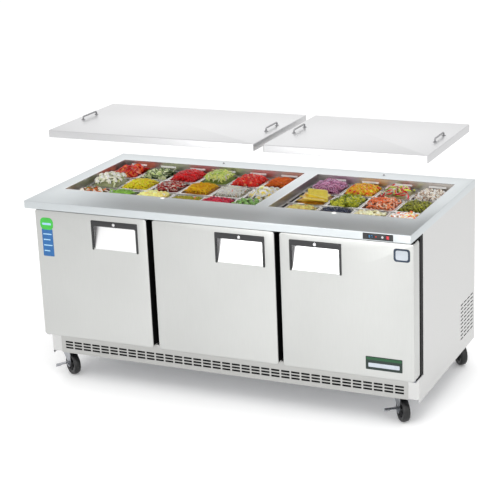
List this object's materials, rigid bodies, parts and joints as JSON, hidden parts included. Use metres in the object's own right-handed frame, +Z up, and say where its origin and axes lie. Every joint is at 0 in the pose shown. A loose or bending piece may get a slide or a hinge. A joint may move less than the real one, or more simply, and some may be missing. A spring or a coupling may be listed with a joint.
{
  "type": "sandwich prep table",
  "caption": "Long refrigerated prep table on casters: hinged doors below, a steel worktop with two wells of food pans, and flat lift-off lids with bar handles.",
  "frame": {"origin": "on the floor under the centre of the worktop", "axes": "+Z up, +X along the length towards the end with the control module, doors on the -Y side"},
  "size_m": [1.805, 0.905, 1.1593],
  "materials": {
    "stainless": "satin",
    "pale_steel": "satin",
    "bright_steel": "polished",
    "zinc": "satin",
    "black_plastic": "satin",
    "dark_metal": "satin",
    "aluminium": "satin",
    "white_plastic": "satin",
    "white_wire": "satin",
    "gasket_rubber": "matte",
    "wheel_rubber": "matte",
    "red_plastic": "gloss"
  },
  "bodies": {
    "cabinet": {"worktop": "stainless", "outer_casing": "pale_steel", "front_grille": "pale_steel", "pan_well_left": "bright_steel", "pan_well_right": "bright_steel", "pan_rack_left": "bright_steel", "pan_rack_right": "bright_steel", "pan_row_left_front": "bright_steel", "pan_row_left_middle": "bright_steel", "pan_row_left_rear": "bright_steel", "pan_row_right_front": "bright_steel", "pan_row_right_middle": "bright_steel", "pan_row_right_rear": "bright_steel", "base_frame": "zinc", "hinge_bracket_left": "zinc", "hinge_bracket_centre": "zinc", "hinge_bracket_right": "zinc", "control_panel": "black_plastic", "face_frame": "dark_metal", "compressor": "dark_metal", "cabinet_liner": "aluminium", "condenser_coil": "aluminium", "evaporator_coil": "aluminium", "shelf_left": "white_wire", "shelf_centre": "white_wire", "shelf_right": "white_wire"},
    "condenser_fan": {"condenser_fan": "black_plastic"},
    "evaporator_fan": {"evaporator_fan": "black_plastic"},
    "power_switch": {"power_switch": "red_plastic"},
    "lid_left": {"lid_left": "stainless", "lid_handle_left_a": "bright_steel", "lid_handle_left_b": "bright_steel"},
    "lid_right": {"lid_right": "stainless", "lid_handle_right_a": "bright_steel", "lid_handle_right_b": "bright_steel"},
    "door_left": {"door_shell_left": "stainless", "door_liner_left": "white_plastic", "door_gasket_left": "gasket_rubber", "handle_trim_left": "black_plastic"},
    "lock_left": {"door_lock_left": "bright_steel"},
    "door_centre": {"door_shell_centre": "stainless", "door_liner_centre": "white_plastic", "door_gasket_centre": "gasket_rubber", "handle_trim_centre": "black_plastic"},
    "lock_centre": {"door_lock_centre": "bright_steel"},
    "door_right": {"door_shell_right": "stainless", "door_liner_right": "white_plastic", "door_gasket_right": "gasket_rubber", "handle_trim_right": "black_plastic"},
    "lock_right": {"door_lock_right": "bright_steel"},
    "swivel_front_left": {"caster_fork_front_left": "zinc"},
    "wheel_front_left": {"caster_wheel_front_left": "wheel_rubber"},
    "brake_front_left": {"brake_pedal_front_left": "zinc"},
    "swivel_front_right": {"caster_fork_front_right": "zinc"},
    "wheel_front_right": {"caster_wheel_front_right": "wheel_rubber"},
    "brake_front_right": {"brake_pedal_front_right": "zinc"},
    "swivel_rear_left": {"caster_fork_rear_left": "zinc"},
    "wheel_rear_left": {"caster_wheel_rear_left": "wheel_rubber"},
    "swivel_rear_right": {"caster_fork_rear_right": "zinc"},
    "wheel_rear_right": {"caster_wheel_rear_right": "wheel_rubber"}
  },
  "joints": [
    {"name": "door_left_hinge", "type": "hinge", "parent": "cabinet", "child": "door_left", "pos_m": [-0.867, -0.3875, 0.528], "axis": [0, 0, -1], "range_deg": [0, 100]},
    {"name": "lock_left_turn", "type": "hinge", "parent": "door_left", "child": "lock_left", "pos_m": [-0.472, -0.4125, 0.783], "axis": [0, 1, 0], "range_deg": [0, 90]},
    {"name": "door_centre_hinge", "type": "hinge", "parent": "cabinet", "child": "door_centre", "pos_m": [-0.275, -0.3875, 0.528], "axis": [0, 0, -1], "range_deg": [0, 100]},
    {"name": "lock_centre_turn", "type": "hinge", "parent": "door_centre", "child": "lock_centre", "pos_m": [0.132, -0.4125, 0.783], "axis": [0, 1, 0], "range_deg": [0, 90]},
    {"name": "door_right_hinge", "type": "hinge", "parent": "cabinet", "child": "door_right", "pos_m": [0.893, -0.3875, 0.528], "axis": [0, 0, 1], "range_deg": [0, 100]},
    {"name": "lock_right_turn", "type": "hinge", "parent": "door_right", "child": "lock_right", "pos_m": [0.475, -0.4125, 0.783], "axis": [0, 1, 0], "range_deg": [0, 90]},
    {"name": "lid_left_lift", "type": "slide", "parent": "cabinet", "child": "lid_left", "axis": [0, 0, 1], "range_m": [-0.2387, 0]},
    {"name": "lid_right_lift", "type": "slide", "parent": "cabinet", "child": "lid_right", "axis": [0, 0, 1], "range_m": [-0.2387, 0]},
    {"name": "swivel_front_left_turn", "type": "hinge", "parent": "cabinet", "child": "swivel_front_left", "pos_m": [-0.833, -0.29, 0.12], "axis": [0, 0, 1], "continuous": true},
    {"name": "wheel_front_left_spin", "type": "hinge", "parent": "swivel_front_left", "child": "wheel_front_left", "pos_m": [-0.80332, -0.30855, 0.051], "axis": [-0.5299, -0.848, 0], "continuous": true},
    {"name": "brake_front_left_press", "type": "hinge", "parent": "swivel_front_left", "child": "brake_front_left", "pos_m": [-0.80332, -0.30855, 0.051], "axis": [-0.5299, -0.848, 0], "range_deg": [0, 25]},
    {"name": "swivel_front_right_turn", "type": "hinge", "parent": "cabinet", "child": "swivel_front_right", "pos_m": [0.7915, -0.28, 0.12], "axis": [0, 0, 1], "continuous": true},
    {"name": "wheel_front_right_spin", "type": "hinge", "parent": "swivel_front_right", "child": "wheel_front_right", "pos_m": [0.814, -0.30681, 0.051], "axis": [-0.766, -0.6428, 0], "continuous": true},
    {"name": "brake_front_right_press", "type": "hinge", "parent": "swivel_front_right", "child": "brake_front_right", "pos_m": [0.814, -0.30681, 0.051], "axis": [-0.766, -0.6428, 0], "range_deg": [0, 25]},
    {"name": "swivel_rear_left_turn", "type": "hinge", "parent": "cabinet", "child": "swivel_rear_left", "pos_m": [-0.833, 0.409, 0.12], "axis": [0, 0, 1], "continuous": true},
    {"name": "wheel_rear_left_spin", "type": "hinge", "parent": "swivel_rear_left", "child": "wheel_rear_left", "pos_m": [-0.80619, 0.3865, 0.051], "axis": [-0.6428, -0.766, 0], "continuous": true},
    {"name": "swivel_rear_right_turn", "type": "hinge", "parent": "cabinet", "child": "swivel_rear_right", "pos_m": [0.835, 0.409, 0.12], "axis": [0, 0, 1], "continuous": true},
    {"name": "wheel_rear_right_spin", "type": "hinge", "parent": "swivel_rear_right", "child": "wheel_rear_right", "pos_m": [0.8575, 0.38219, 0.051], "axis": [-0.766, -0.6428, 0], "continuous": true},
    {"name": "power_switch_rock", "type": "hinge", "parent": "cabinet", "child": "power_switch", "pos_m": [0.805, -0.4475, 0.852], "axis": [1, 0, 0], "range_deg": [-20, 0]},
    {"name": "condenser_fan_spin", "type": "hinge", "parent": "cabinet", "child": "condenser_fan", "pos_m": [0.714, 0.3125, 0.2525], "axis": [1, 0, 0], "continuous": true},
    {"name": "evaporator_fan_spin", "type": "hinge", "parent": "cabinet", "child": "evaporator_fan", "pos_m": [0, 0.359, 0.58], "axis": [0, 1, 0], "continuous": true}
  ]
}
